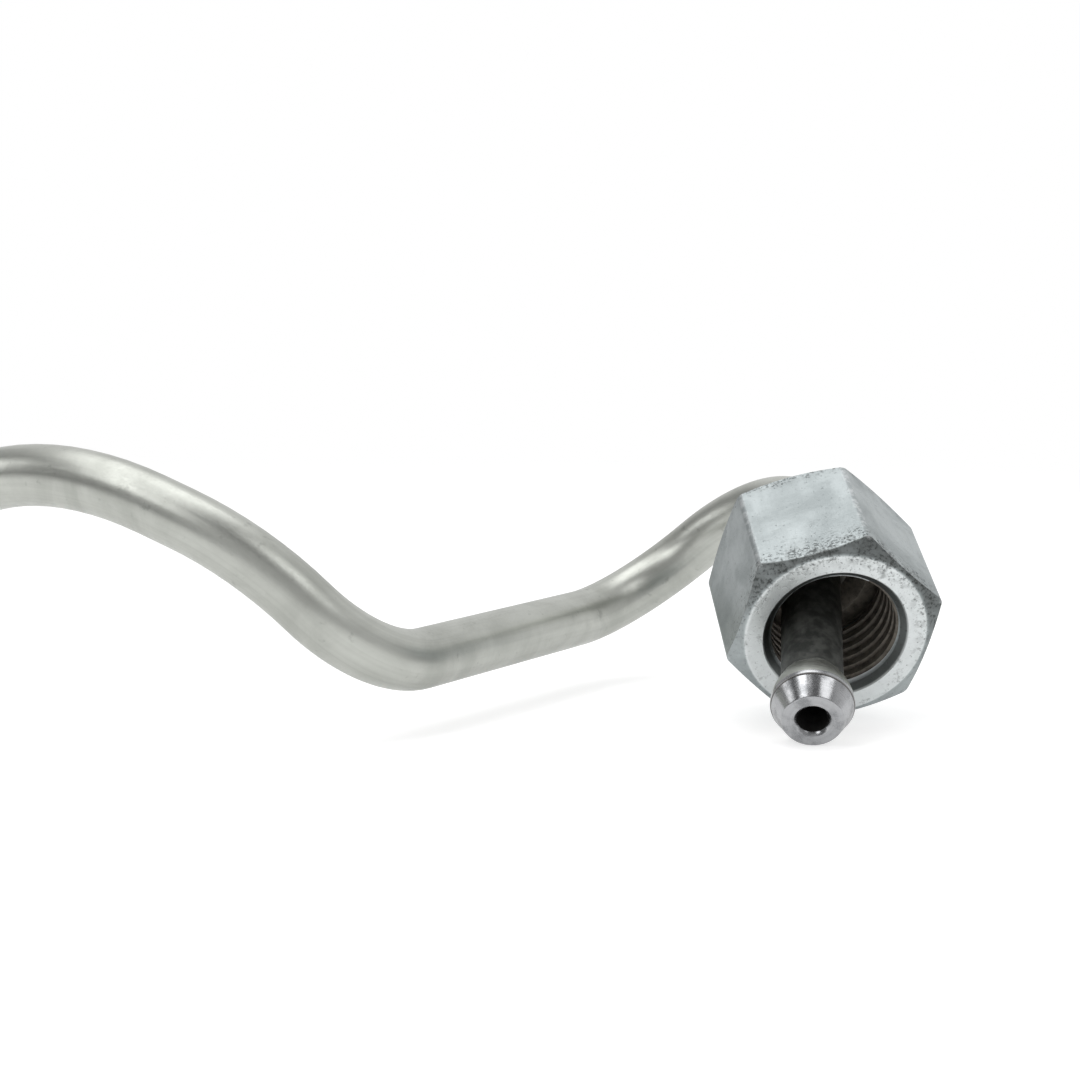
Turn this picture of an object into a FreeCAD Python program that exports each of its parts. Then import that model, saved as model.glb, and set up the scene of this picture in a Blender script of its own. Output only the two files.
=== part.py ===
"""High-pressure fuel injector line: a bent steel pipe with a cone head formed on
each end and a captive union nut at each end.

Frame: millimetres, +Z up. The line lies as it comes to rest, on the plane Z = 0,
and the origin is at the middle of its footprint. The injector end is on the +X
side and faces -Y.
"""
import FreeCAD, Part
import math
import os
import Sketcher
from FreeCAD import Placement, Rotation, Vector

doc = FreeCAD.newDocument("fuel_injector_line")

# Driving dimensions, in millimetres and degrees
SIZES = [
    ("PipeOuter", 6.0, "outside diameter of the drawn pipe"),
    ("PipeBore", 3.0, "bore of the pipe"),
    ("BoreDepth", 30.0, "depth of the open bore at each end"),
    ("BoreMouth", 3.6, "countersunk mouth of the bore"),
    ("ConeTip", 5.8, "diameter of the flat end face"),
    ("ConeBase", 7.8, "diameter where the sealing cone ends"),
    ("ConeLength", 2.2, "length of the sealing cone"),
    ("CollarOuter", 8.0, "largest diameter of the head"),
    ("CollarStep", 0.15, "length of the step from cone to collar"),
    ("ShoulderLength", 3.3, "length of the rounded shoulder behind the collar"),
    ("ShoulderEnd", 6.2, "diameter where the shoulder runs out on the pipe"),
    ("AcrossFlats", 19.0, "union nut across its flats"),
    ("NutLength", 16.0, "union nut, mouth face to back face"),
    ("FaceCircle", 18.0, "flat ring left by the corner chamfers"),
    ("CornerAngle", 30.0, "slope of the corner chamfers"),
    ("ChamferClear", 0.2, "how far the chamfering cut reaches past the corners"),
    ("ThreadCrest", 12.4, "crest diameter of the M14 x 1.5 thread"),
    ("MouthDiameter", 14.4, "countersink at the mouth of the nut"),
    ("ReliefWidth", 1.8, "width of the thread relief"),
    ("ReliefDiameter", 14.2, "diameter of the thread relief"),
    ("SeatMouth", 10.6, "outer diameter of the conical seat"),
    ("NutHole", 7.5, "hole that the pipe passes through"),
    ("HoleLength", 3.05, "length of that hole, behind the seat"),
    ("HomeGap", 1.0, "pump nut's seat clear of the shoulder, along the pipe"),
    ("InjectorNutBack", 27.0, "end face to the middle of the injector nut's hole"),
    ("InjectorNutYaw", 3.8, "injector nut's axis, turned from -Y towards +X"),
    ("InjectorNutSlope", 25.5, "injector nut's axis, below level"),
    ("InjectorNutRoll", 17.3, "injector nut, turned about its own axis"),
    ("InjectorYaw", -6.4, "injector end of the pipe, turned from -Y"),
    ("InjectorSlope", 28.6, "injector end of the pipe, below level"),
    ("InjectorRun", 48.8, "end face to the first bend corner, injector end"),
    ("PumpYaw", -90.0, "pump end of the pipe, turned from -Y"),
    ("PumpRun", 45.0, "end face to the first bend corner, pump end"),
    ("BackBend", 13.4, "centre-line radius of the two bends behind the injector nut"),
    ("LowBend", 12.9, "centre-line radius of the low bend"),
    ("ArchRightBend", 29.6, "centre-line radius of the arch, right part"),
    ("ArchLeftBend", 28.5, "centre-line radius of the arch, left part"),
    ("PumpBend", 18.0, "centre-line radius of the bend by the pump end"),
]

# Corners of the pipe's centre line, from the pump end to the injector end: the
# corner, its three places and the radius that rounds it. The pump corner is as
# high as the middle of the nut that carries it.
CORNERS = [
    ("Pump", -50.05, 22.71, None, "PumpBend"),
    ("ArchLeft", 18.05, -25.59, 26.4, "ArchLeftBend"),
    ("ArchRight", 36.45, -31.09, 18.4, "ArchRightBend"),
    ("Low", 47.85, -29.99, 7.0, "LowBend"),
    ("Back", 72.95, 16.31, 7.7, "BackBend"),
    ("Injector", 93.65, 10.51, 25.91, "BackBend"),
]

# Dimensions that follow from the driving ones
DERIVED = [
    ("PipeRadius", "=PipeOuter / 2"),
    ("BoreRadius", "=PipeBore / 2"),
    ("BoreMouthRadius", "=BoreMouth / 2"),
    ("BoreMouthDepth", "=BoreMouthRadius - BoreRadius"),
    ("TipRadius", "=ConeTip / 2"),
    ("BaseRadius", "=ConeBase / 2"),
    ("CollarRadius", "=CollarOuter / 2"),
    ("CollarPlace", "=ConeLength + CollarStep"),
    ("ShoulderRadius", "=ShoulderEnd / 2"),
    ("ShoulderDrop", "=CollarRadius - ShoulderRadius"),
    ("ShoulderArc", "=(ShoulderLength ^ 2 + ShoulderDrop ^ 2) / (2 * ShoulderDrop)"),
    ("HeadLength", "=CollarPlace + ShoulderLength"),
    ("CornerRadius", "=AcrossFlats / sqrt(3)"),
    ("FaceRadius", "=FaceCircle / 2"),
    ("ChamferReach", "=CornerRadius + ChamferClear"),
    ("ChamferRise", "=(ChamferReach - FaceRadius) * tan(CornerAngle)"),
    ("BackChamfer", "=NutLength - ChamferRise"),
    ("MouthRadius", "=MouthDiameter / 2"),
    ("CrestRadius", "=ThreadCrest / 2"),
    ("MouthDepth", "=MouthRadius - CrestRadius"),
    ("ReliefRadius", "=ReliefDiameter / 2"),
    ("SeatRadius", "=SeatMouth / 2"),
    ("HoleRadius", "=NutHole / 2"),
    ("SeatEnd", "=NutLength - HoleLength"),
    ("ReliefEnd", "=SeatEnd - SeatRadius + HoleRadius"),
    ("ThreadEnd", "=ReliefEnd - ReliefWidth"),
    ("HoleMiddle", "=(SeatEnd + NutLength) / 2"),
    ("SeatDrop", "=CollarRadius - HoleRadius"),
    ("SeatReach", "=CollarPlace + sqrt(2 * ShoulderArc * SeatDrop - SeatDrop ^ 2)"),
    ("PumpNutAhead", "=SeatEnd - SeatReach - HomeGap"),
]

sheet = doc.addObject("Spreadsheet::Sheet", "Sizes")


def sheet_rows():
    """Every row of the sheet: a name, the cell's text and what it is."""
    rows = [(alias, str(value), meaning) for alias, value, meaning in SIZES]
    for name, along, depth, height, _radius in CORNERS:
        for word, value in (("Along", along), ("Depth", depth), ("Height", height)):
            if value is not None:
                rows.append((name + word, str(value), f"{name} corner, {word.lower()}"))
    return rows + [(alias, formula, "follows") for alias, formula in DERIVED]


for row, (alias, text, meaning) in enumerate(sheet_rows(), start=1):
    sheet.set(f"A{row}", alias)
    sheet.set(f"B{row}", text)
    sheet.setAlias(f"B{row}", alias)
    sheet.set(f"C{row}", meaning)
doc.recompute()


def size(alias):
    """A dimension, read back from the sheet."""
    return float(sheet.get(alias))


def bind(item, prop, alias):
    """Tie a property of an object to a cell of the sheet."""
    item.setExpression(prop, "Sizes." + alias)


def facing(yaw, slope):
    """Unit vector along -Y, turned by yaw towards +X and then tipped below level."""
    a, e = math.radians(yaw), math.radians(slope)
    return Vector(math.sin(a) * math.cos(e), -math.cos(a) * math.cos(e), -math.sin(e))


def level_across(yaw):
    """Level unit vector to the right of a facing direction with this yaw."""
    a = math.radians(yaw)
    return Vector(math.cos(a), math.sin(a), 0)


def looking_back(origin, forward, across):
    """Placement whose +Z points back from forward and whose +X lies along across."""
    return Placement(origin, Rotation(across, Vector(), -forward, "ZXY"))


# Centre line of the pipe

def corner_point(name):
    """A corner of the centre line."""
    height = size("AcrossFlats") / 2 if name == "Pump" else size(name + "Height")
    return Vector(size(name + "Along"), size(name + "Depth"), height)


corner_points = [corner_point(entry[0]) for entry in CORNERS]
bend_radii = [size(entry[4]) for entry in CORNERS]
pump_forward = facing(size("PumpYaw"), 0)
pump_across = level_across(size("PumpYaw"))
pump_tip = corner_points[0] + pump_forward * size("PumpRun")
injector_forward = facing(size("InjectorYaw"), size("InjectorSlope"))
injector_across = level_across(size("InjectorYaw"))
injector_tip = corner_points[-1] + injector_forward * size("InjectorRun")


def centre_line(start, end):
    """Straight runs joined by tangent arcs, from one point to another."""
    stations = [start, *corner_points, end]
    edges = []
    here = start
    for index, corner in enumerate(corner_points):
        into = (corner - stations[index]).normalize()
        out = (stations[index + 2] - corner).normalize()
        half_turn = into.getAngle(out) / 2
        tangent = bend_radii[index] * math.tan(half_turn)
        inside = bend_radii[index] * (1 / math.cos(half_turn) - 1)
        arc_start = corner - into * tangent
        arc_middle = corner + (out - into).normalize() * inside
        arc_end = corner + out * tangent
        edges.append(Part.LineSegment(here, arc_start).toShape())
        edges.append(Part.Arc(arc_start, arc_middle, arc_end).toShape())
        here = arc_end
    edges.append(Part.LineSegment(here, end).toShape())
    return Part.Wire(edges)


def bent_bar(name):
    """Round bar of the pipe's outside diameter, from inside one head to inside the other."""
    start = pump_tip - pump_forward * size("ConeLength")
    end = injector_tip - injector_forward * size("ConeLength")
    spine = doc.addObject("Part::Feature", name + "_line")
    spine.Shape = centre_line(start, end)
    section = doc.addObject("Part::Circle", name + "_section")
    bind(section, "Radius", "PipeRadius")
    section.Placement = looking_back(start, pump_forward, pump_across)
    sweep = doc.addObject("Part::Sweep", name)
    sweep.Sections = [section]
    sweep.Spine = (spine, [f"Edge{number + 1}" for number in range(len(spine.Shape.Edges))])
    sweep.Solid = True
    return sweep


# Sketches

def sketch_on(body, name, role):
    """An empty sketch on one of a body's own planes."""
    sketch = body.newObject("Sketcher::SketchObject", name)
    plane = next(item for item in body.Origin.OriginFeatures if item.Role == role)
    sketch.AttachmentSupport = (plane, [""])
    sketch.MapMode = "FlatFace"
    return sketch


def place(alias):
    """A coordinate of a profile: a cell's value, or nought for None."""
    return size(alias) if alias else 0.0


def pin(sketch, edge, across, along):
    """Hold the start of an edge at two cells, or on an axis where one is None."""
    for kind, axis_line, alias in (("DistanceX", -2, across), ("DistanceY", -1, along)):
        if alias:
            held = sketch.addConstraint(Sketcher.Constraint(kind, -1, 1, edge, 1, size(alias)))
            bind(sketch, f"Constraints[{held}]", alias)
        else:
            sketch.addConstraint(Sketcher.Constraint("PointOnObject", edge, 1, axis_line))


def closed_profile(sketch, points, arc_from=None):
    """A closed outline through pinned points. The side that starts at point
    arc_from is an arc that leaves it along the sketch's upright direction."""
    count = len(points)
    spots = [Vector(place(across), place(along), 0) for across, along in points]
    for index, spot in enumerate(spots):
        after = spots[(index + 1) % count]
        if index == arc_from:
            radius = size("ShoulderArc")
            middle = spot - Vector(radius, 0, 0)
            sweep_angle = math.asin((after.y - spot.y) / radius)
            circle = Part.Circle(middle, Vector(0, 0, 1), radius)
            sketch.addGeometry(Part.ArcOfCircle(circle, 0, sweep_angle), False)
        else:
            sketch.addGeometry(Part.LineSegment(spot, after), False)
    for index in range(count):
        after = (index + 1) % count
        sketch.addConstraint(Sketcher.Constraint("Coincident", index, 2, after, 1))
    for index, (across, along) in enumerate(points):
        pin(sketch, index, across, along)
    if arc_from is not None:
        level = Sketcher.Constraint("DistanceY", -1, 1, arc_from, 3, spots[arc_from].y)
        bind(sketch, f"Constraints[{sketch.addConstraint(level)}]", points[arc_from][1])


def turned(body, name, points, kind, arc_from=None):
    """A profile turned a full circle about the body's +Z, added or cut away."""
    sketch = sketch_on(body, name + "_profile", "XZ_Plane")
    closed_profile(sketch, points, arc_from)
    feature = body.newObject(kind, name)
    feature.Profile = sketch
    feature.ReferenceAxis = (sketch, ["V_Axis"])
    feature.Angle = 360
    doc.recompute()
    return feature


# Pipe heads

def cone_head(name, placement):
    """Head upset on the pipe's end: sealing cone, collar and rounded shoulder."""
    body = doc.addObject("PartDesign::Body", name)
    outline = [
        (None, None),
        ("TipRadius", None),
        ("BaseRadius", "ConeLength"),
        ("CollarRadius", "CollarPlace"),
        ("ShoulderRadius", "HeadLength"),
        (None, "HeadLength"),
    ]
    turned(body, name + "_form", outline, "PartDesign::Revolution", arc_from=3)
    body.Placement = placement
    return body


def bore(name, placement):
    """Open bore at one end, which starts in the end face."""
    cylinder = doc.addObject("Part::Cylinder", name)
    bind(cylinder, "Radius", "BoreRadius")
    bind(cylinder, "Height", "BoreDepth")
    cylinder.Placement = placement
    return cylinder


def bore_mouth(name, placement):
    """Countersink of the bore at one end face."""
    cone = doc.addObject("Part::Cone", name)
    bind(cone, "Radius1", "BoreMouthRadius")
    bind(cone, "Radius2", "BoreRadius")
    bind(cone, "Height", "BoreMouthDepth")
    cone.Placement = placement
    return cone


def fuse(name, shapes):
    """Several shapes made one."""
    fused = doc.addObject("Part::MultiFuse", name)
    fused.Shapes = shapes
    return fused


pump_end = looking_back(pump_tip, pump_forward, pump_across)
injector_end = looking_back(injector_tip, injector_forward, injector_across)
outside = fuse("pipe_outside", [
    bent_bar("pipe_bar"),
    cone_head("pump_head", pump_end),
    cone_head("injector_head", injector_end),
])
inside = fuse("pipe_inside", [
    bore("pump_bore", pump_end),
    bore_mouth("pump_bore_mouth", pump_end),
    bore("injector_bore", injector_end),
    bore_mouth("injector_bore_mouth", injector_end),
])
fuel_pipe = doc.addObject("Part::Cut", "fuel_pipe")
fuel_pipe.Base = outside
fuel_pipe.Tool = inside


# Union nuts

def hexagon(sketch):
    """A hexagon about the sketch's origin with a corner on its level axis."""
    radius = size("CornerRadius")
    turns = [math.radians(60 * number) for number in range(6)]
    corners = [Vector(radius * math.cos(turn), radius * math.sin(turn), 0) for turn in turns]
    for index, corner in enumerate(corners):
        sketch.addGeometry(Part.LineSegment(corner, corners[(index + 1) % 6]), False)
    ring = sketch.addGeometry(Part.Circle(Vector(), Vector(0, 0, 1), radius), True)
    for index in range(6):
        sketch.addConstraint(Sketcher.Constraint("Coincident", index, 2, (index + 1) % 6, 1))
        sketch.addConstraint(Sketcher.Constraint("PointOnObject", index, 1, ring))
    for index in range(1, 6):
        sketch.addConstraint(Sketcher.Constraint("Equal", 0, index))
    sketch.addConstraint(Sketcher.Constraint("Coincident", ring, 3, -1, 1))
    sketch.addConstraint(Sketcher.Constraint("PointOnObject", 0, 1, -1))
    held = sketch.addConstraint(Sketcher.Constraint("Radius", ring, radius))
    bind(sketch, f"Constraints[{held}]", "CornerRadius")


def union_nut(name, placement):
    """Captive nut. Its own origin is in the mouth face and +Z runs into it."""
    body = doc.addObject("PartDesign::Body", name)
    flats = sketch_on(body, name + "_hexagon", "XY_Plane")
    hexagon(flats)
    bar = body.newObject("PartDesign::Pad", name + "_bar")
    bar.Profile = flats
    bind(bar, "Length", "NutLength")
    doc.recompute()
    turned(body, name + "_front_chamfer", [
        ("FaceRadius", None),
        ("ChamferReach", None),
        ("ChamferReach", "ChamferRise"),
    ], "PartDesign::Groove")
    turned(body, name + "_back_chamfer", [
        ("FaceRadius", "NutLength"),
        ("ChamferReach", "BackChamfer"),
        ("ChamferReach", "NutLength"),
    ], "PartDesign::Groove")
    turned(body, name + "_inside", [
        (None, None),
        ("MouthRadius", None),
        ("CrestRadius", "MouthDepth"),
        ("CrestRadius", "ThreadEnd"),
        ("ReliefRadius", "ThreadEnd"),
        ("ReliefRadius", "ReliefEnd"),
        ("SeatRadius", "ReliefEnd"),
        ("HoleRadius", "SeatEnd"),
        ("HoleRadius", "NutLength"),
        (None, "NutLength"),
    ], "PartDesign::Groove")
    body.Placement = placement
    return body


nut_yaw = size("InjectorNutYaw")
nut_forward = facing(nut_yaw, size("InjectorNutSlope"))
nut_turn = Rotation(nut_forward, size("InjectorNutRoll"))
nut_hole = injector_tip - injector_forward * size("InjectorNutBack")
injector_nut = union_nut("injector_nut", looking_back(
    nut_hole + nut_forward * size("HoleMiddle"),
    nut_forward,
    nut_turn.multVec(level_across(nut_yaw)),
))
pump_nut = union_nut("pump_nut", looking_back(
    pump_tip + pump_forward * size("PumpNutAhead"),
    pump_forward,
    pump_across,
))
doc.recompute()

# Checks, then one file for each piece
PIECES = {"fuel_pipe": fuel_pipe, "injector_nut": injector_nut, "pump_nut": pump_nut}

for item in doc.Objects:
    if "Invalid" in item.State or "Error" in item.State:
        raise RuntimeError(f"{item.Name} failed to build: {item.State}")
for label, piece in PIECES.items():
    piece.Label = label
    if piece.Shape.isNull() or not piece.Shape.isValid() or len(piece.Shape.Solids) != 1:
        raise RuntimeError(f"{label} is not one valid solid")

line_length = centre_line(pump_tip, injector_tip).Length
bar_area = math.pi * size("PipeRadius") ** 2
bore_area = math.pi * size("BoreRadius") ** 2
bored = 2 * size("BoreDepth")
open_all_the_way = fuel_pipe.Shape.Volume - bore_area * (line_length - bored)
print(f"pipe length {line_length:.1f}, section x length less the bores "
      f"{bar_area * line_length - bore_area * bored:.0f}, pipe volume {fuel_pipe.Shape.Volume:.0f}, "
      f"with its bore open all the way {open_all_the_way:.0f}")
os.makedirs("parts", exist_ok=True)
for label, piece in PIECES.items():
    box = piece.Shape.BoundBox
    print(f"{label}: volume {piece.Shape.Volume:.1f}, X {box.XMin:.3f} to {box.XMax:.3f}, "
          f"Y {box.YMin:.3f} to {box.YMax:.3f}, Z {box.ZMin:.3f} to {box.ZMax:.3f}")
    piece.Shape.exportStep(f"parts/{label}.step")
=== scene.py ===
"""Looks of a high-pressure fuel injector line.

A bent steel pipe has a cone head formed on each end, and each end carries a loose
union nut. The pipe is laid ring by ring along its bends, and the nut is cut from a
hexagonal bar, chamfered, bored and threaded, then set on both ends. Sizes are in
millimetres here and become metres where a mesh is made.
"""

import logging
import math
from dataclasses import dataclass, field
from enum import Enum

import bmesh
import bpy
from mathutils import Matrix, Vector


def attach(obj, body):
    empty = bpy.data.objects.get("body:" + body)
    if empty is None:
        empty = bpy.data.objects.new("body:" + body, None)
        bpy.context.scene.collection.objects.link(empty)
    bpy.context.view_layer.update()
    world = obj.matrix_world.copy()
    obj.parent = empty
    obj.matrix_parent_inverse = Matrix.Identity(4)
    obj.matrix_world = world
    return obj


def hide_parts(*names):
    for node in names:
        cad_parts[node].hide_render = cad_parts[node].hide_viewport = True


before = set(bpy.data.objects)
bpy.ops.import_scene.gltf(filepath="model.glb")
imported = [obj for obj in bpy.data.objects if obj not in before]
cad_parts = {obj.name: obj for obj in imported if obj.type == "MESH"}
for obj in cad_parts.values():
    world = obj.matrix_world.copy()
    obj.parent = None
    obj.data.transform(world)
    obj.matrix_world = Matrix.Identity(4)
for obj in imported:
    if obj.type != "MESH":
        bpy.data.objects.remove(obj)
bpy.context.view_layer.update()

MILLIMETRE = 0.001
MERGE_DISTANCE = 0.002
WHITE = (1.0, 1.0, 1.0, 1.0)
# Every Map Range node here eases in and out between its two ends
SMOOTH = {"interpolation_type": "SMOOTHSTEP"}
log = logging.getLogger("injector_line")


class Region(Enum):
    """Which surface of the line a face belongs to, in the order of the pipe's slots."""

    DRAWN_TUBE = 0
    INJECTOR_CONE = 1
    OPEN_BORE = 2
    PUMP_CONE = 3


class NutFace(Enum):
    """Which surface of a union nut a face belongs to, in the order of its slots."""

    PLATED_OUTSIDE = 0
    OILED_INSIDE = 1


def metres(length: float) -> float:
    """Millimetres as metres."""
    return length * MILLIMETRE


def linear(hex_colour: str) -> tuple[float, float, float, float]:
    """An sRGB colour as the linear one that shaders read.

    Args:
        hex_colour: six hexadecimal digits, with or without a leading hash.

    Returns:
        Linear red, green and blue, and an alpha of 1.
    """
    digits = hex_colour.lstrip("#")
    channels = [int(digits[place:place + 2], 16) / 255 for place in (0, 2, 4)]
    bent = [c / 12.92 if c <= 0.04045 else ((c + 0.055) / 1.055) ** 2.4 for c in channels]
    return (bent[0], bent[1], bent[2], 1.0)


def facing(yaw: float, slope: float) -> Vector:
    """Unit vector along -Y, turned by yaw towards +X, then tipped below level.

    Args:
        yaw: turn towards +X, in degrees.
        slope: tip below level, in degrees.

    Returns:
        The unit vector.
    """
    a, e = math.radians(yaw), math.radians(slope)
    return Vector((math.sin(a) * math.cos(e), -math.cos(a) * math.cos(e), -math.sin(e)))


def level_across(yaw: float) -> Vector:
    """Level unit vector to the right of a facing direction with this yaw."""
    turn = math.radians(yaw)
    return Vector((math.cos(turn), math.sin(turn), 0.0))


def clear_selection() -> None:
    """Go to object mode with nothing selected."""
    if bpy.context.object and bpy.context.object.mode != "OBJECT":
        bpy.ops.object.mode_set(mode="OBJECT")
    bpy.ops.object.select_all(action="DESELECT")


def pick(piece: bpy.types.Object) -> None:
    """Make one object the only selected and active one.

    Args:
        piece: the object.
    """
    clear_selection()
    piece.select_set(True)
    bpy.context.view_layer.objects.active = piece


def apply_modifier(piece: bpy.types.Object, kind: str, **settings: object) -> None:
    """Add a modifier to a piece and apply it at once.

    Args:
        piece: the object that is changed.
        kind: the modifier's type.
        settings: its properties.
    """
    pick(piece)
    modifier = piece.modifiers.new(kind.lower(), kind)
    for name, value in settings.items():
        setattr(modifier, name, value)
    bpy.ops.object.modifier_apply(modifier=modifier.name)


def cut(piece: bpy.types.Object, tool: bpy.types.Object, operation: str) -> None:
    """Combine a piece with a closed tool, which is then removed.

    Args:
        piece: the object that stays.
        tool: the object that cuts or bounds it.
        operation: DIFFERENCE or INTERSECT.
    """
    apply_modifier(piece, "BOOLEAN", object=tool, operation=operation, solver="EXACT")
    bpy.data.objects.remove(tool, do_unlink=True)


def drawn_outline(name: str, points: list[tuple[float, float]]) -> bpy.types.Object:
    """A chain of edges in the XZ plane, drawn point by point and left in edit mode.

    Args:
        name: the object's name.
        points: radius and height of each point, in millimetres.

    Returns:
        The object, with the whole chain selected.
    """
    clear_selection()
    bpy.ops.mesh.primitive_plane_add(size=metres(1.0), location=(0, 0, 0))
    chain = bpy.context.object
    chain.name = name
    bpy.ops.object.mode_set(mode="EDIT")
    bpy.ops.mesh.select_all(action="SELECT")
    bpy.ops.mesh.merge(type="CENTER")
    here = points[0]
    bpy.ops.transform.translate(value=(metres(here[0]), 0, metres(here[1])))
    for radius, height in points[1:]:
        move = (metres(radius - here[0]), 0.0, metres(height - here[1]))
        bpy.ops.mesh.extrude_vertices_move(TRANSFORM_OT_translate={"value": move})
        here = (radius, height)
    bpy.ops.mesh.select_all(action="SELECT")
    return chain


def turned_solid(name: str, outline: list[tuple[float, float]], steps: int) -> bpy.types.Object:
    """A closed solid of revolution about +Z, spun from half an outline.

    Args:
        name: the object's name.
        outline: radius and height of each point in millimetres, from axis to axis.
        steps: how many steps make the full turn.

    Returns:
        The object, at the origin.
    """
    solid = drawn_outline(name, outline)
    bpy.ops.mesh.spin(steps=steps, angle=math.tau, center=(0, 0, 0), axis=(0, 0, 1))
    bpy.ops.mesh.select_all(action="SELECT")
    bpy.ops.mesh.remove_doubles(threshold=metres(MERGE_DISTANCE))
    bpy.ops.mesh.normals_make_consistent(inside=False)
    bpy.ops.object.mode_set(mode="OBJECT")
    return solid


class NodeGraph:
    """The nodes of a material or world, emptied so that they can be laid anew."""

    def __init__(self, owner: bpy.types.ID) -> None:
        """Empty the owner's node tree.

        Args:
            owner: the material or world.
        """
        owner.use_nodes = True
        self.tree = owner.node_tree
        self.tree.nodes.clear()

    def add(self, kind: str, inputs: dict | list | tuple = (), output: int | str = 0,
            **settings: object) -> bpy.types.NodeSocket | None:
        """Add one node with its settings and links.

        Args:
            kind: the node's type, without the words before it, such as TexNoise.
            inputs: what goes into its sockets, each an output to link or a plain value,
                in the sockets' order or by their names or numbers.
            output: name or number of the output that is returned.
            settings: the node's own properties.

        Returns:
            The output, or None where the node has none.
        """
        node = self.tree.nodes.new("ShaderNode" + kind)
        for name, value in settings.items():
            setattr(node, name, value)
        for key, value in inputs.items() if isinstance(inputs, dict) else enumerate(inputs):
            if isinstance(value, bpy.types.NodeSocket):
                self.tree.links.new(value, node.inputs[key])
            else:
                node.inputs[key].default_value = value
        return node.outputs[output] if len(node.outputs) else None


@dataclass(frozen=True)
class Finish:
    """What every metal finish here shares: its name, its coats and its shader.

    Patterns lie on a piece's own coordinates, in millimetres. A field that ends in
    per_mm says how many of a pattern's features a millimetre holds.
    """

    name: str

    def blank(self) -> tuple[bpy.types.Material, NodeGraph]:
        """A new material and its emptied nodes."""
        material = bpy.data.materials.new(self.name)
        return material, NodeGraph(material)

    def polar(self, graph: NodeGraph, place: bpy.types.NodeSocket
              ) -> tuple[bpy.types.NodeSocket, bpy.types.NodeSocket]:
        """Distance from a piece's own axis, and place along it.

        Args:
            graph: the material's nodes.
            place: the piece's own coordinates.

        Returns:
            The two outputs, in millimetres.
        """
        x, y, along = graph.add("SeparateXYZ", (place,)).node.outputs
        level = graph.add("CombineXYZ", (x, y))
        return graph.add("VectorMath", (level,), "Value", operation="LENGTH"), along

    def coat(self, graph: NodeGraph, base: str,
             coats: tuple[tuple[bpy.types.NodeSocket, str], ...]) -> bpy.types.NodeSocket:
        """Lay colours over a base, one on the other.

        Args:
            graph: the material's nodes.
            base: the colour underneath, as hex digits.
            coats: how much of each coat shows, and its colour, from the lowest up.

        Returns:
            The uppermost colour's output.
        """
        colour: object = linear(base)
        for share, laid in coats:
            colour = graph.add("Mix", {0: share, 6: colour, 7: linear(laid)}, 2, data_type="RGBA")
        return colour

    def close(self, graph: NodeGraph, relief: bpy.types.NodeSocket, strength: float,
              depth: float, inputs: dict) -> None:
        """Bump a bare metal's shader and join it to the output.

        Args:
            graph: the material's nodes.
            relief: height of the surface's marks.
            strength: how much of the bump shows.
            depth: height of a mark, in millimetres.
            inputs: what goes into the shader's other sockets, by name.
        """
        bumped = graph.add("Bump", {
            "Strength": strength, "Distance": metres(depth), "Height": relief})
        shader = graph.add("BsdfPrincipled", {"Metallic": 1.0, "Normal": bumped, **inputs})
        graph.add("OutputMaterial", (shader,))


@dataclass(frozen=True)
class PipeFinish(Finish):
    """A finish on the pipe, laid on its coordinates as they were before bending."""

    length: float = 280.0

    def behind_face(self, graph: NodeGraph, mark: bpy.types.NodeSocket) -> bpy.types.NodeSocket:
        """Distance behind the nearer of the pipe's two end faces.

        Args:
            graph: the material's nodes.
            mark: place along the pipe, which counts down from the pump end's face.

        Returns:
            The distance's output, in millimetres.
        """
        from_pump = graph.add("Math", (mark, -1.0), operation="MULTIPLY")
        from_injector = graph.add("Math", (mark, self.length), operation="ADD")
        return graph.add("Math", (from_pump, from_injector), operation="MINIMUM")


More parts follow.
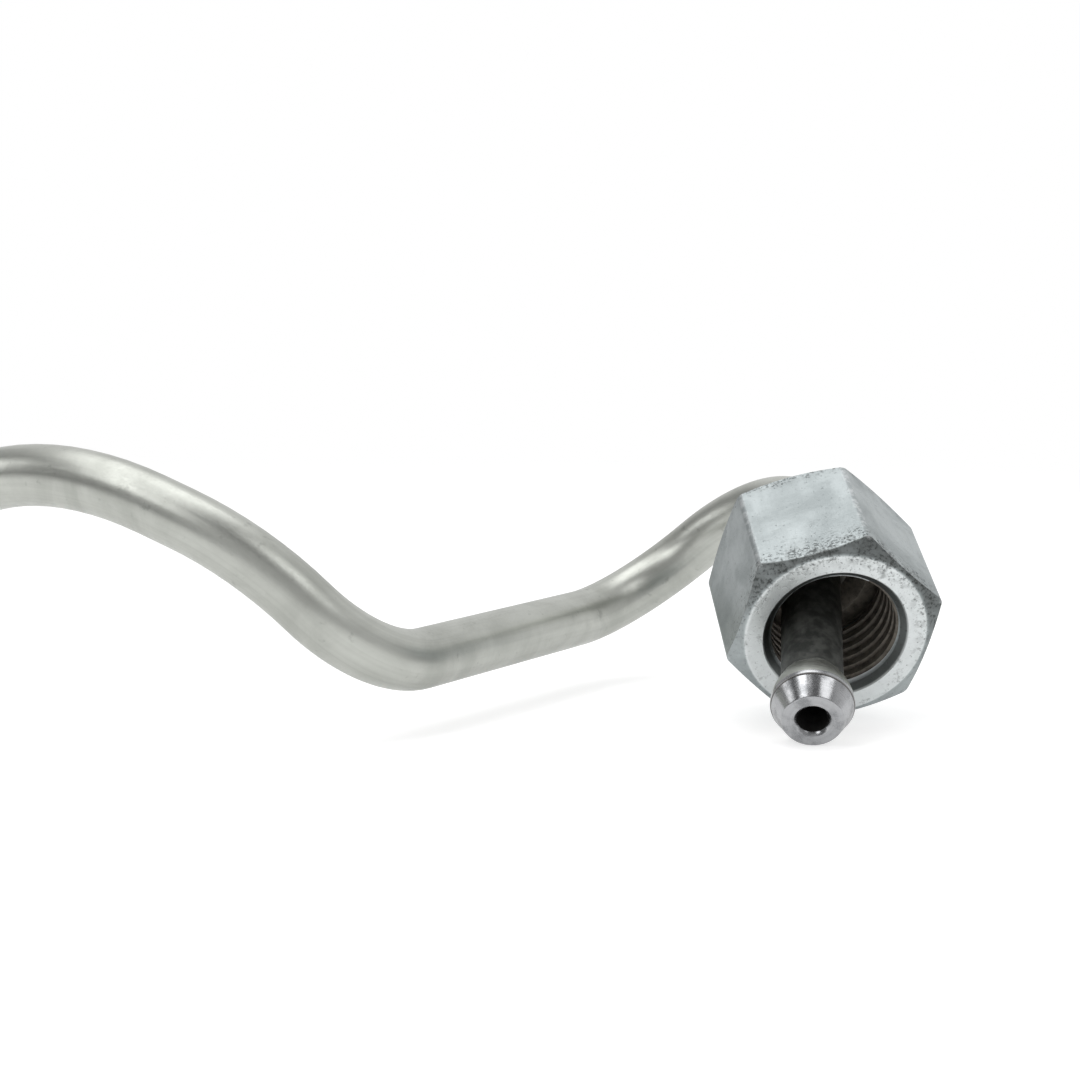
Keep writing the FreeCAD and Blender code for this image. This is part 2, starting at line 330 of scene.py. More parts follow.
@dataclass(frozen=True)
class DrawnTubeSteel(PipeFinish):
    """Cold-drawn seamless tube under a thin dull plating.

    Drawing through the die leaves fine lines along the tube, plating dulls them to a
    satin with a faint olive tint, and bending and handling leave soft smudges.
    """

    bright: str = "C3C5BF"
    dull: str = "AFB1AB"
    smudge: str = "7D7F7A"
    # Colour of the oil film and painted shade on the tube behind each head
    oil_and_shade: str = "2A2C2A"
    line_width: float = 0.3
    smudge_size: float = 9.0
    mottle_per_mm: float = 0.9
    grain_size: float = 0.25
    # Where that oil film and painted shade lie behind each end face, and how metallic they leave
    # the tube
    oil_shade_from: float = 5.4
    oil_shade_to: float = 26.0
    oil_shade_metallic: float = 0.5

    def make(self) -> bpy.types.Material:
        """Build the material, on the pipe's straightened coordinates.

        Returns:
            The material.
        """
        material, graph = self.blank()
        flat = graph.add("Attribute", (), "Vector", attribute_name="before_bending")
        # Real draw lines are a few hundredths of a millimetre wide, too fine to show, so
        # they are drawn wider. They are far longer than wide, so the length is squeezed
        drawn = graph.add("Mapping", {"Vector": flat, "Scale": (1.0, 1.0, 0.02)})
        lines = graph.add("TexNoise", {
            "Vector": drawn, "Scale": 0.5 / self.line_width, "Detail": 3.0, "Roughness": 0.6})
        cloud = graph.add("TexNoise", {
            "Vector": flat, "Scale": 1.0 / self.smudge_size, "Detail": 5.0,
            "Roughness": 0.62, "Distortion": 0.6})
        mottle = graph.add("TexNoise", {
            "Vector": flat, "Scale": self.mottle_per_mm, "Detail": 3.0, "Roughness": 0.55})
        grain = graph.add("TexNoise", {
            "Vector": flat, "Scale": 1.0 / self.grain_size, "Detail": 2.0, "Roughness": 0.5})
        dulled = graph.add("MapRange", (cloud, 0.3, 0.7), **SMOOTH)
        streaked = graph.add("MapRange", (lines, 0.4, 0.75, 0.0, 0.16), **SMOOTH)
        smudged = graph.add("MapRange", (mottle, 0.62, 0.78, 0.0, 0.4), **SMOOTH)
        # Behind each head, where the nut sits, the tube is painted dark: old oil and its dust,
        # and painted shade of the nut
        behind = self.behind_face(graph, graph.add("SeparateXYZ", (flat,), 2))
        wander = graph.add("MapRange", (mottle, 0.3, 0.7, -0.25, 0.25), **SMOOTH)
        ragged = graph.add("Math", (behind, wander), operation="ADD")
        begun = graph.add("MapRange", (ragged, self.oil_shade_from, self.oil_shade_from + 0.5), **SMOOTH)
        fading = graph.add("MapRange", (
            behind, self.oil_shade_to, self.oil_shade_to + 8.0, 1.0, 0.0), **SMOOTH)
        oiled_and_shaded = graph.add("Math", (begun, fading), operation="MULTIPLY")
        thin = graph.add("MapRange", (mottle, 0.35, 0.75, 0.98, 0.82), **SMOOTH)
        filmed_and_shaded = graph.add("Math", (oiled_and_shaded, thin), operation="MULTIPLY")
        colour = self.coat(graph, self.bright, (
            (dulled, self.dull), (streaked, self.smudge), (smudged, self.smudge),
            (filmed_and_shaded, self.oil_and_shade)))
        satin = graph.add("MapRange", (cloud, 0.3, 0.7, 0.31, 0.37), **SMOOTH)
        grainy = graph.add("MapRange", (grain, 0.35, 0.7, 0.0, 0.07), **SMOOTH)
        rough = graph.add("Math", (satin, grainy), operation="ADD")
        rough = graph.add("Math", (oiled_and_shaded, 0.12, rough), operation="MULTIPLY_ADD")
        relief = graph.add("Math", (grain, 0.5, lines), operation="MULTIPLY_ADD")
        relief = graph.add("Math", (mottle, 1.2, relief), operation="MULTIPLY_ADD")
        # An oil film scatters light that the bare metal would only mirror, and under the painted
        # shade the tube mirrors less too
        metallic = graph.add("MapRange", (oiled_and_shaded, 0.0, 1.0, 1.0, self.oil_shade_metallic), **SMOOTH)
        self.close(graph, relief, 0.3, 0.02, {
            "Base Color": colour, "Roughness": rough, "Metallic": metallic})
        return material


@dataclass(frozen=True)
class GroundConeSteel(PipeFinish):
    """Bare steel of the formed head, turned or ground true after upsetting.

    The tool leaves fine rings round the axis, so the cone glints in two long
    streaks and the end face looks a little cooler than the tube.
    """

    clean: str = "B2B3B5"
    worn: str = "808284"
    groove: str = "4A4641"
    ring_pitch: float = 0.14
    stain_per_mm: float = 0.55
    grain_size: float = 0.2
    groove_from: float = 2.12
    groove_to: float = 2.36
    axis: tuple[float, float, float] = (0.0, 0.0, 1.0)

    def make(self) -> bpy.types.Material:
        """Build the material: rings run round the axis on cone, collar and face.

        Returns:
            The material.
        """
        material, graph = self.blank()
        flat = graph.add("Attribute", (), "Vector", attribute_name="before_bending")
        radius, mark = self.polar(graph, flat)
        # Radius and length added up change steadily all along the head's outline
        along = graph.add("Math", (mark, radius), operation="ADD")
        ringed = graph.add("CombineXYZ", {2: along})
        rings = graph.add("TexNoise", {
            "Vector": ringed, "Scale": 0.5 / self.ring_pitch, "Detail": 3.0, "Roughness": 0.7})
        stain = graph.add("TexNoise", {
            "Vector": flat, "Scale": self.stain_per_mm, "Detail": 4.0, "Roughness": 0.6})
        grain = graph.add("TexNoise", {
            "Vector": flat, "Scale": 1.0 / self.grain_size, "Detail": 2.0})
        stained = graph.add("MapRange", (stain, 0.42, 0.68, 0.0, 0.75), **SMOOTH)
        ground = graph.add("MapRange", (rings, 0.45, 0.75, 0.0, 0.35), **SMOOTH)
        # The narrow groove between the cone and the collar is coloured darker
        behind = self.behind_face(graph, mark)
        begun = graph.add("MapRange", (
            behind, self.groove_from, self.groove_from + 0.07), **SMOOTH)
        fading = graph.add("MapRange", (
            behind, self.groove_to - 0.09, self.groove_to, 0.8, 0.0), **SMOOTH)
        grooved = graph.add("Math", (begun, fading), operation="MULTIPLY")
        colour = self.coat(graph, self.clean, (
            (stained, self.worn), (ground, self.worn), (grooved, self.groove)))
        bright = graph.add("MapRange", (stain, 0.35, 0.7, 0.19, 0.26), **SMOOTH)
        grainy = graph.add("MapRange", (grain, 0.4, 0.7, 0.0, 0.06), **SMOOTH)
        rough = graph.add("Math", (bright, grainy), operation="ADD")
        relief = graph.add("Math", (grain, 0.35, rings), operation="MULTIPLY_ADD")
        # Tool rings run round the axis, so glints stretch along it, but not on the end face
        along_axis = graph.add("CombineXYZ", self.axis)
        outward = graph.add("NewGeometry", (), "Normal")
        facing_out = graph.add("VectorMath", (outward, along_axis), "Value",
                               operation="DOT_PRODUCT")
        stretch = graph.add("MapRange", (facing_out, 0.6, 0.85, 0.6, 0.0), **SMOOTH)
        self.close(graph, relief, 0.4, 0.02, {
            "Base Color": colour, "Roughness": rough, "Anisotropic": stretch,
            "Tangent": along_axis})
        return material


@dataclass(frozen=True)
class ZincPlatedSteel(Finish):
    """Free-cutting hexagonal bar, cut on the lathe, then clear zinc plated.

    Plating gives a satin, slightly blue-green grey. Flats keep faint drawn streaks
    along the bar, faces keep rings from the lathe, and spanners and storage leave
    dark pits near the front edges. The corners are lighter with wear and painted
    highlight, the mouth face's ring and the thread's first turn carry painted
    highlights, and the countersink and the worn side's chamfer are painted darker
    as shade, the countersink with dirt as well.
    """

    plate: str = "B4BBBC"
    shade: str = "9FA6A7"
    # Dark colour for dirt, and for painted shade in the countersink and on the chamfer
    grime_and_shade: str = "5C5F5E"
    pit: str = "3C3D3B"
    # Light colour for worn corners and for painted highlights
    rub_and_highlight: str = "E4E7E8"
    # Colour of the painted highlight on the mouth face's ring
    painted_face_highlight: str = "EBEFEF"
    half_flats: float = 9.5
    length: float = 16.0
    face_radius: float = 9.0
    thread_crest: float = 6.22
    mouth_radius: float = 7.15
    ring_pitch: float = 0.25
    streak_width: float = 0.3
    pit_size: float = 0.26
    cloud_size: float = 6.25
    mottle_per_mm: float = 1.1
    grain_per_mm: float = 5.5
    patch_per_mm: float = 0.42
    worn_side: tuple[float, float, float] = (0.50, -0.87, 0.0)

    def near_corners(self, graph: NodeGraph, place: bpy.types.NodeSocket
                     ) -> bpy.types.NodeSocket:
        """How close a spot is to one of the bar's six corners.

        Args:
            graph: the material's nodes.
            place: the nut's own coordinates.

        Returns:
            The output, 1 at a corner and 0 on the flats.
        """
        reach = []
        for turn in (30, 90, 150):
            toward = (math.cos(math.radians(turn)), math.sin(math.radians(turn)), 0.0)
            along = graph.add("VectorMath", (place, toward), "Value", operation="DOT_PRODUCT")
            reach.append(graph.add("Math", (along,), operation="ABSOLUTE"))
        # The second largest reach grows to half the flats only at the six corners
        lesser = graph.add("Math", reach[:2], operation="MINIMUM")
        larger = graph.add("Math", reach[:2], operation="MAXIMUM")
        middle = graph.add("Math", (larger, reach[2]), operation="MINIMUM")
        second = graph.add("Math", (lesser, middle), operation="MAXIMUM")
        return graph.add("MapRange", (
            second, self.half_flats - 0.5, self.half_flats - 0.08), **SMOOTH)

    def chamfer_mask(self, graph: NodeGraph, radius: bpy.types.NodeSocket,
                      depth: bpy.types.NodeSocket) -> bpy.types.NodeSocket:
        """How far a spot lies on the chamfer, the cone that rises from the face's rim.

        Args:
            graph: the material's nodes.
            radius: distance from the nut's axis.
            depth: distance behind the nut's mouth face.

        Returns:
            The output, 1 on the chamfer.
        """
        beyond = graph.add("Math", (radius, self.face_radius), operation="SUBTRACT")
        slope = math.tan(math.radians(30))
        rise = graph.add("Math", (beyond, slope), operation="MULTIPLY")
        above = graph.add("Math", (depth, rise), operation="SUBTRACT")
        close_by = graph.add("MapRange", (above, 0.08, 0.22, 1.0, 0.0), **SMOOTH)
        outside = graph.add("MapRange", (
            radius, self.face_radius - 0.05, self.face_radius + 0.3), **SMOOTH)
        return graph.add("Math", (close_by, outside), operation="MULTIPLY")

    def make(self) -> bpy.types.Material:
        """Build the material, on the nut's own coordinates before it is placed.

        Returns:
            The material.
        """
        material, graph = self.blank()
        place = graph.add("Attribute", (), "Vector", attribute_name="nut_place")
        radius, depth = self.polar(graph, place)
        cloud = graph.add("TexNoise", {
            "Vector": place, "Scale": 1.0 / self.cloud_size, "Detail": 4.0,
            "Roughness": 0.6, "Distortion": 0.4})
        mottle = graph.add("TexNoise", {
            "Vector": place, "Scale": self.mottle_per_mm, "Detail": 4.0, "Roughness": 0.65})
        grain = graph.add("TexNoise", {
            "Vector": place, "Scale": self.grain_per_mm, "Detail": 2.0, "Roughness": 0.5})
        patch = graph.add("TexNoise", {
            "Vector": place, "Scale": self.patch_per_mm, "Detail": 3.0, "Roughness": 0.6})
        specks = graph.add("TexNoise", {
            "Vector": place, "Scale": 0.8 / self.pit_size, "Detail": 3.0,
            "Roughness": 0.65, "Distortion": 0.2})
        # Streaks run far along the bar, and are drawn wider than real ones so that they
        # show. Handling scuffs run across it
        bar = graph.add("Mapping", {"Vector": place, "Scale": (1.0, 1.0, 0.05)})
        streaks = graph.add("TexNoise", {
            "Vector": bar, "Scale": 0.5 / self.streak_width, "Detail": 3.0, "Roughness": 0.6})
        crossed = graph.add("Mapping", {"Vector": place, "Scale": (0.6, 0.6, 3.2)})
        scuffs = graph.add("TexNoise", {
            "Vector": crossed, "Scale": self.mottle_per_mm, "Detail": 4.0, "Roughness": 0.7})
        ringed = graph.add("CombineXYZ", {2: radius})
        rings = graph.add("TexNoise", {
            "Vector": ringed, "Scale": 0.5 / self.ring_pitch, "Detail": 2.0, "Roughness": 0.6})
        # Wear is strongest round both rims and on the side that is knocked about
        front = graph.add("MapRange", (depth, 1.2, 4.2, 1.0, 0.0), **SMOOTH)
        back = graph.add("MapRange", (depth, self.length - 2.4, self.length - 0.6, 0.0, 0.7),
                         **SMOOTH)
        rim = graph.add("Math", (front, back), operation="MAXIMUM")
        wide = graph.add("MapRange", (radius, 7.4, 9.4, 0.35, 1.0), **SMOOTH)
        outer = graph.add("Math", (rim, wide), operation="MULTIPLY")
        toward_wear = graph.add("VectorMath", (place, self.worn_side), "Value",
                                operation="DOT_PRODUCT")
        worn = graph.add("MapRange", (toward_wear, -5.0, 8.0, 0.25, 1.0), **SMOOTH)
        knocked = graph.add("Math", (outer, worn), operation="MULTIPLY")
        # Pits gather in patches, and round them the plating has gone dull
        gathered = graph.add("MapRange", (patch, 0.32, 0.62, 0.35, 1.0), **SMOOTH)
        crowd = graph.add("Math", (knocked, gathered), operation="MULTIPLY")
        chance = graph.add("Math", (crowd, 0.19, specks), operation="MULTIPLY_ADD")
        dent = graph.add("MapRange", (chance, 0.61, 0.78), **SMOOTH)
        pitted = graph.add("Math", (dent, 0.52), operation="MULTIPLY")
        spread = graph.add("MapRange", (mottle, 0.42, 0.66, 0.0, 0.5), **SMOOTH)
        dulled = graph.add("Math", (crowd, spread), operation="MULTIPLY")
        # The chamfer on the worn side is painted dark in blotches, as painted shade
        chamfer = self.chamfer_mask(graph, radius, depth)
        worn_chamfer = graph.add("Math", (chamfer, worn), operation="MULTIPLY")
        chamfer_shade_blotches = graph.add("MapRange", (patch, 0.25, 0.6, 0.6, 0.9), **SMOOTH)
        chamfer_shade = graph.add("Math", (worn_chamfer, chamfer_shade_blotches), operation="MULTIPLY")
        clouded = graph.add("MapRange", (cloud, 0.35, 0.65), **SMOOTH)
        streaked = graph.add("MapRange", (streaks, 0.42, 0.72, 0.0, 0.3), **SMOOTH)
        scuff = graph.add("MapRange", (scuffs, 0.56, 0.68, 0.0, 0.4), **SMOOTH)
        forward = graph.add("MapRange", (depth, 2.0, 9.0, 1.0, 0.15), **SMOOTH)
        scuffed = graph.add("Math", (scuff, forward), operation="MULTIPLY")
        # Corners are painted lighter, partly wear and partly painted highlight along the edges
        corner = self.near_corners(graph, place)
        bared = graph.add("MapRange", (mottle, 0.42, 0.62, 0.0, 0.6), **SMOOTH)
        corner_wear_and_highlight = graph.add("Math", (corner, bared), operation="MULTIPLY")
        # Painted highlight: the mouth face's ring is painted brighter than the flats, standing in
        # for a brighter mirrored floor
        on_face = graph.add("MapRange", (depth, 0.05, 0.3, 0.75, 0.0), **SMOOTH)
        in_rim = graph.add("MapRange", (
            radius, self.face_radius - 0.1, self.face_radius + 0.1, 1.0, 0.0), **SMOOTH)
        painted_face_highlight = graph.add("Math", (on_face, in_rim), operation="MULTIPLY")
        # The thread's first turn is painted bright, a painted highlight along its edge
        at_crest = graph.add("MapRange", (
            radius, self.thread_crest, self.thread_crest + 0.2, 1.0, 0.0), **SMOOTH)
        at_mouth = graph.add("MapRange", (depth, 1.6, 2.0, 1.0, 0.0), **SMOOTH)
        painted_thread_highlight = graph.add("Math", (at_crest, at_mouth), operation="MULTIPLY")
        # Between that turn and the rim the countersink is painted dark: dirt and painted shade in
        # the hollow
        past_crest = graph.add("MapRange", (
            radius, self.thread_crest + 0.2, self.thread_crest + 0.33), **SMOOTH)
        in_mouth = graph.add("MapRange", (
            radius, self.mouth_radius - 0.15, self.mouth_radius, 1.0, 0.0), **SMOOTH)
        ring = graph.add("Math", (past_crest, in_mouth), operation="MULTIPLY")
        shallow = graph.add("MapRange", (depth, 1.2, 1.4, 0.85, 0.0), **SMOOTH)
        countersink_dirt_and_shade = graph.add("Math", (ring, shallow), operation="MULTIPLY")
        colour = self.coat(graph, self.plate, (
            (clouded, self.shade), (streaked, self.shade), (painted_face_highlight, self.painted_face_highlight),
            (scuffed, self.grime_and_shade), (chamfer_shade, self.grime_and_shade), (corner_wear_and_highlight, self.rub_and_highlight),
            (painted_thread_highlight, self.rub_and_highlight), (countersink_dirt_and_shade, self.grime_and_shade), (dulled, self.grime_and_shade),
            (pitted, self.pit)))
        satin = graph.add("MapRange", (cloud, 0.3, 0.7, 0.32, 0.42), **SMOOTH)
        grainy = graph.add("MapRange", (grain, 0.35, 0.7, 0.0, 0.08), **SMOOTH)
        rough = graph.add("Math", (satin, grainy), operation="ADD")
        rough = graph.add("Math", (dent, 0.25, rough), operation="MULTIPLY_ADD")
        lathe = graph.add("Math", (rings, 0.4), operation="MULTIPLY")
        relief = graph.add("Math", (streaks, 0.5, lathe), operation="MULTIPLY_ADD")
        relief = graph.add("Math", (grain, 0.5, relief), operation="MULTIPLY_ADD")
        relief = graph.add("Math", (dent, -1.6, relief), operation="MULTIPLY_ADD")
        self.close(graph, relief, 0.4, 0.03, {"Base Color": colour, "Roughness": rough})
        return material


@dataclass(frozen=True)
class OiledSteelWithPaintedShade(Finish):
    """Inside surfaces where the plating is thin, old oil has darkened the steel, and the colour
    is painted darker still as shade.

    The thread's crests show lighter bare steel, and deeper into the grooves the colour is painted
    darker, as shade.
    """

    # Film colour: old oil, darkened further as painted shade
    shaded_film: str = "645E57"
    bare: str = "8C857B"
    attribute: str = "nut_place"
    crest_radius: float = 6.2
    blotch_per_mm: float = 1.3
    grit_per_mm: float = 6.0
    metallic: float = 0.45

    def make(self) -> bpy.types.Material:
        """Build the material: bare crests and mouth, dark and blotchy deeper in, with painted
        shade.

        Returns:
            The material.
        """
        material, graph = self.blank()
        place = graph.add("Attribute", (), "Vector", attribute_name=self.attribute)
        radius, _depth = self.polar(graph, place)
        blotch = graph.add("TexNoise", {
            "Vector": place, "Scale": self.blotch_per_mm, "Detail": 5.0, "Roughness": 0.7})
        grit = graph.add("TexNoise", {
            "Vector": place, "Scale": self.grit_per_mm, "Detail": 2.0, "Roughness": 0.6})
        # Deeper into the grooves less bare steel shows, painted shade of the hollows
        crest = graph.add("MapRange", (
            radius, self.crest_radius, self.crest_radius + 0.6, 1.0, 0.65), **SMOOTH)
        blotched = graph.add("MapRange", (blotch, 0.3, 0.62), **SMOOTH)
        bared = graph.add("Math", (crest, blotched), operation="MULTIPLY")
        colour = self.coat(graph, self.shaded_film, ((bared, self.bare),))
        rough = graph.add("MapRange", (grit, 0.3, 0.7, 0.34, 0.52), **SMOOTH)
        relief = graph.add("Math", (grit, 0.6, blotch), operation="MULTIPLY_ADD")
        # A film of oil and dust scatters light that bare metal would only mirror
        self.close(graph, relief, 0.4, 0.04, {
            "Base Color": colour, "Roughness": rough, "Metallic": self.metallic})
        return material


@dataclass
class Bend:
    """A corner of the pipe's centre line and the radius that rounds it."""

    name: str
    place: tuple[float, float, float]
    radius: float


@dataclass
class FuelPipe:
    """The pipe with its two heads: one closed skin, laid ring by ring."""

    bore: float = 3.0
    bore_depth: float = 30.0
    ground_length: float = 2.6
    pump_yaw: float = -90.0
    pump_run: float = 45.0
    injector_yaw: float = -6.4
    injector_slope: float = 28.6
    injector_run: float = 48.8
    segments: int = 72
    turn_step: float = 4.0
    bends: list[Bend] = field(default_factory=lambda: [
        Bend("pump", (-50.05, 22.71, 9.5), 18.0),
        Bend("arch_left", (18.05, -25.59, 26.4), 28.5),
        Bend("arch_right", (36.45, -31.09, 18.4), 29.6),
        Bend("low", (47.85, -29.99, 7.0), 12.9),
        Bend("back", (72.95, 16.31, 7.7), 13.4),
        Bend("injector", (93.65, 10.51, 25.91), 13.4),
    ])
    # Radius and distance behind the end face of each ring of the bore's mouth
    mouth: list[tuple[float, float]] = field(default_factory=lambda: [
        (1.5, 0.35), (1.515, 0.30), (1.77, 0.03), (1.81, 0.0)])
    # The same for the head's outside, from the end face back to the plain tube
    head: list[tuple[float, float]] = field(default_factory=lambda: [
        (2.80, 0.0), (2.86, 0.012), (2.905, 0.05), (2.935, 0.10),
        (3.40, 1.10), (3.86, 2.09), (3.885, 2.14), (3.87, 2.17), (3.80, 2.20), (3.80, 2.25),
        (3.93, 2.29), (3.985, 2.33), (4.0, 2.40), (3.985, 2.75), (3.93, 3.20), (3.82, 3.70),
        (3.66, 4.25), (3.45, 4.80), (3.25, 5.25), (3.10, 5.60), (3.03, 5.80), (3.0, 6.05),
    ])

    def pump_forward(self) -> Vector:
        """Direction that the pump end faces."""
        return facing(self.pump_yaw, 0.0)

    def injector_forward(self) -> Vector:
        """Direction that the injector end faces."""
        return facing(self.injector_yaw, self.injector_slope)

    def pump_tip(self) -> Vector:
        """Middle of the pump end's flat face, in millimetres."""
        return Vector(self.bends[0].place) + self.pump_forward() * self.pump_run

    def injector_tip(self) -> Vector:
        """Middle of the injector end's flat face, in millimetres."""
        return Vector(self.bends[-1].place) + self.injector_forward() * self.injector_run

    def build(self) -> bpy.types.Object:
        """Lay the whole skin, from the bottom of one bore to the bottom of the other.

        Returns:
            The pipe, in place, with its materials.
        """
        start = self.pump_tip() - self.pump_forward() * self.bore_depth
        clear_selection()
        bpy.ops.mesh.primitive_circle_add(
            vertices=self.segments, radius=metres(self.bore / 2), fill_type="NOTHING",
            location=start * MILLIMETRE,
            rotation=self.pump_forward().to_track_quat("Z", "Y").to_euler())
        pipe = bpy.context.object
        pipe.name = "bent_pipe_with_cone_heads"
        bpy.ops.object.transform_apply(location=True, rotation=True, scale=True)
        pipe.data.attributes.new("before_bending", "FLOAT_VECTOR", "POINT")
        pipe.data.attributes.new("region", "INT", "FACE")
        bpy.ops.object.mode_set(mode="EDIT")
        bpy.ops.mesh.select_all(action="SELECT")
        walker = RingWalker(pipe, start, self.pump_forward(), self.bore / 2, -self.bore_depth)
        self.lay_bore_outwards(walker)
        self.lay_head_backwards(walker)
        self.lay_bends(walker)
        self.lay_head_forwards(walker)
        length = abs(walker.travelled)
        self.lay_bore_inwards(walker)
        self.close_ends(pipe)
        for finish in (
                DrawnTubeSteel("drawn_steel_tube_dull_plated", length=length),
                GroundConeSteel("ground_steel_cone_injector_end", length=length,
                                axis=tuple(self.injector_forward())),
                # The bore is given near-black colours, painted shade of the deep, narrow hole
                OiledSteelWithPaintedShade("oiled_shaded_steel_bore", shaded_film="2C2B2B", bare="3B3A39",
                           attribute="before_bending"),
                GroundConeSteel("ground_steel_cone_pump_end", length=length,
                                axis=tuple(self.pump_forward()))):
            pipe.data.materials.append(finish.make())
        self.paint_regions(pipe)
        return pipe

    def lay_bore_outwards(self, walker: "RingWalker") -> None:
        """Lay the wall of the pump end's bore, from its bottom to the end face.

        Args:
            walker: what lays the rings.
        """
        walker.region = Region.OPEN_BORE
        left = self.bore_depth
        for radius, behind in self.mouth:
            walker.step(left - behind, radius)
            walker.region = Region.PUMP_CONE
            left = behind

    def lay_head_backwards(self, walker: "RingWalker") -> None:
        """Lay the outside of the pump head, from its end face to the plain tube.

        Args:
            walker: what lays the rings.
        """
        walker.turn_back()
        walker.region = Region.PUMP_CONE
        done = 0.0
        for radius, behind in self.head:
            if behind > self.ground_length:
                walker.region = Region.DRAWN_TUBE
            walker.step(behind - done, radius)
            done = behind

    def lay_bends(self, walker: "RingWalker") -> None:
        """Lay the straight runs and bends of the tube, head to head.

        Args:
            walker: what lays the rings.
        """
        walker.region = Region.DRAWN_TUBE
        last = self.injector_tip() - self.injector_forward() * self.head[-1][1]
        stations = [walker.centre, *[Vector(bend.place) for bend in self.bends], last]
        for index, bend in enumerate(self.bends):
            corner = stations[index + 1]
            out = (stations[index + 2] - corner).normalized()
            turn = walker.along.angle(out)
            tangent = bend.radius * math.tan(turn / 2)
            arc_start = corner - walker.along * tangent
            walker.run((arc_start - walker.centre).length)
            walker.bend(out, bend.radius, self.turn_step)
            log.info("bend %s turns %.1f degrees", bend.name, math.degrees(turn))
        walker.run((last - walker.centre).length)

    def lay_head_forwards(self, walker: "RingWalker") -> None:
        """Lay the outside of the injector head, from the plain tube to its end face.

        Args:
            walker: what lays the rings.
        """
        done = self.head[-1][1]
        for radius, behind in reversed(self.head[:-1]):
            if behind < self.ground_length:
                walker.region = Region.INJECTOR_CONE
            walker.step(done - behind, radius)
            done = behind

    def lay_bore_inwards(self, walker: "RingWalker") -> None:
        """Lay the mouth and wall of the injector end's bore, from the end face inwards.

        Args:
            walker: what lays the rings.
        """
        walker.region = Region.INJECTOR_CONE
        walker.step(0.0, self.mouth[-1][0])
        walker.turn_back()
        done = 0.0
        for radius, behind in reversed(self.mouth[:-1]):
            walker.step(behind - done, radius)
            done = behind
        walker.region = Region.OPEN_BORE
        walker.step(self.bore_depth - done, self.bore / 2)

    def close_ends(self, pipe: bpy.types.Object) -> None:
        """Fill the two bores' bottoms and point every face outwards.

        Args:
            pipe: the pipe, in edit mode.
        """
        bpy.ops.mesh.select_all(action="DESELECT")
        bpy.ops.mesh.select_non_manifold()
        bpy.ops.mesh.edge_face_add()
        bpy.ops.mesh.select_all(action="SELECT")
        bpy.ops.mesh.normals_make_consistent(inside=False)
        bpy.ops.object.mode_set(mode="OBJECT")
        pick(pipe)
        bpy.ops.object.shade_smooth_by_angle(angle=math.radians(32))

    def paint_regions(self, pipe: bpy.types.Object) -> None:
        """Give each face the material of its region.

        Args:
            pipe: the pipe, with its materials in the regions' order.
        """
        regions = [0] * len(pipe.data.polygons)
        pipe.data.attributes["region"].data.foreach_get("value", regions)
        pipe.data.polygons.foreach_set("material_index", regions)
        pipe.data.attributes.remove(pipe.data.attributes["region"])


class RingWalker:
    """Extrudes the selected ring of a tube step by step, and marks what it leaves."""

    def __init__(self, piece: bpy.types.Object, centre: Vector, along: Vector,
                 radius: float, travelled: float) -> None:
        """Start on the ring that is selected.

        Args:
            piece: the tube, in edit mode with one ring selected.
            centre: the ring's middle, in millimetres.
            along: the direction of travel.
            radius: the ring's radius, in millimetres.
            travelled: place along the pipe, in millimetres, which the marks hold.
        """
        self.piece = piece
        self.centre = Vector(centre)
        self.along = Vector(along).normalized()
        self.radius = radius
        self.travelled = travelled
        self.sense = 1.0
        self.region = Region.OPEN_BORE
        mesh = bmesh.from_edit_mesh(piece.data)
        marks = mesh.verts.layers.float_vector["before_bending"]
        ring = [vertex for vertex in mesh.verts if vertex.select]
        side = self.along.orthogonal().normalized()
        up = self.along.cross(side)
        for vertex in ring:
            spoke = (vertex.co - self.centre * MILLIMETRE).normalized()
            vertex[marks] = (radius * spoke.dot(side), radius * spoke.dot(up), travelled)

    def mark(self, scale: float) -> None:
        """Write the place along the pipe on the new ring, and the region on its faces.

        Args:
            scale: the new ring's radius over the last one's.
        """
        mesh = bmesh.from_edit_mesh(self.piece.data)
        marks = mesh.verts.layers.float_vector["before_bending"]
        regions = mesh.faces.layers.int["region"]
        for vertex in mesh.verts:
            if vertex.select:
                x, y, _z = vertex[marks]
                vertex[marks] = (x * scale, y * scale, self.travelled)
                for face in vertex.link_faces:
                    face[regions] = self.region.value

    def turn_back(self) -> None:
        """Travel the other way from here."""
        self.along = -self.along
        self.sense = -self.sense

    def step(self, distance: float, radius: float) -> None:
        """Extrude the ring straight on and give it a radius.

        Args:
            distance: how far, in millimetres.
            radius: the new ring's radius, in millimetres.
        """
        bpy.ops.mesh.extrude_region_move(
            TRANSFORM_OT_translate={"value": self.along * metres(distance)})
        self.centre = self.centre + self.along * distance
        self.travelled += distance * self.sense
        scale = radius / self.radius
        if abs(scale - 1.0) > 1e-6:
            bpy.ops.transform.resize(value=(scale,) * 3,
                                     center_override=self.centre * MILLIMETRE)
        self.radius = radius
        self.mark(scale)

    def run(self, distance: float) -> None:
        """Extrude the ring straight on, unchanged."""
        if distance > 1e-4:
            self.step(distance, self.radius)

    def bend(self, out: Vector, radius: float, step: float) -> None:
        """Spin the ring round a bend, a few degrees at a time.

        Args:
            out: direction of travel after the bend.
            radius: centre-line radius of the bend, in millimetres.
            step: largest turn between two rings, in degrees.
        """
        turn = self.along.angle(out)
        axis = self.along.cross(out).normalized()
        inward = axis.cross(self.along).normalized()
        pivot = self.centre + inward * radius
        steps = max(1, math.ceil(math.degrees(turn) / step))
        for _number in range(steps):
            bpy.ops.mesh.spin(steps=1, angle=-turn / steps, center=pivot * MILLIMETRE, axis=axis)
            swing = Matrix.Rotation(turn / steps, 3, axis)
            self.centre = pivot + swing @ (self.centre - pivot)
            self.along = swing @ self.along
            self.travelled += self.sense * radius * turn / steps
            self.mark(1.0)
        self.along = Vector(out)


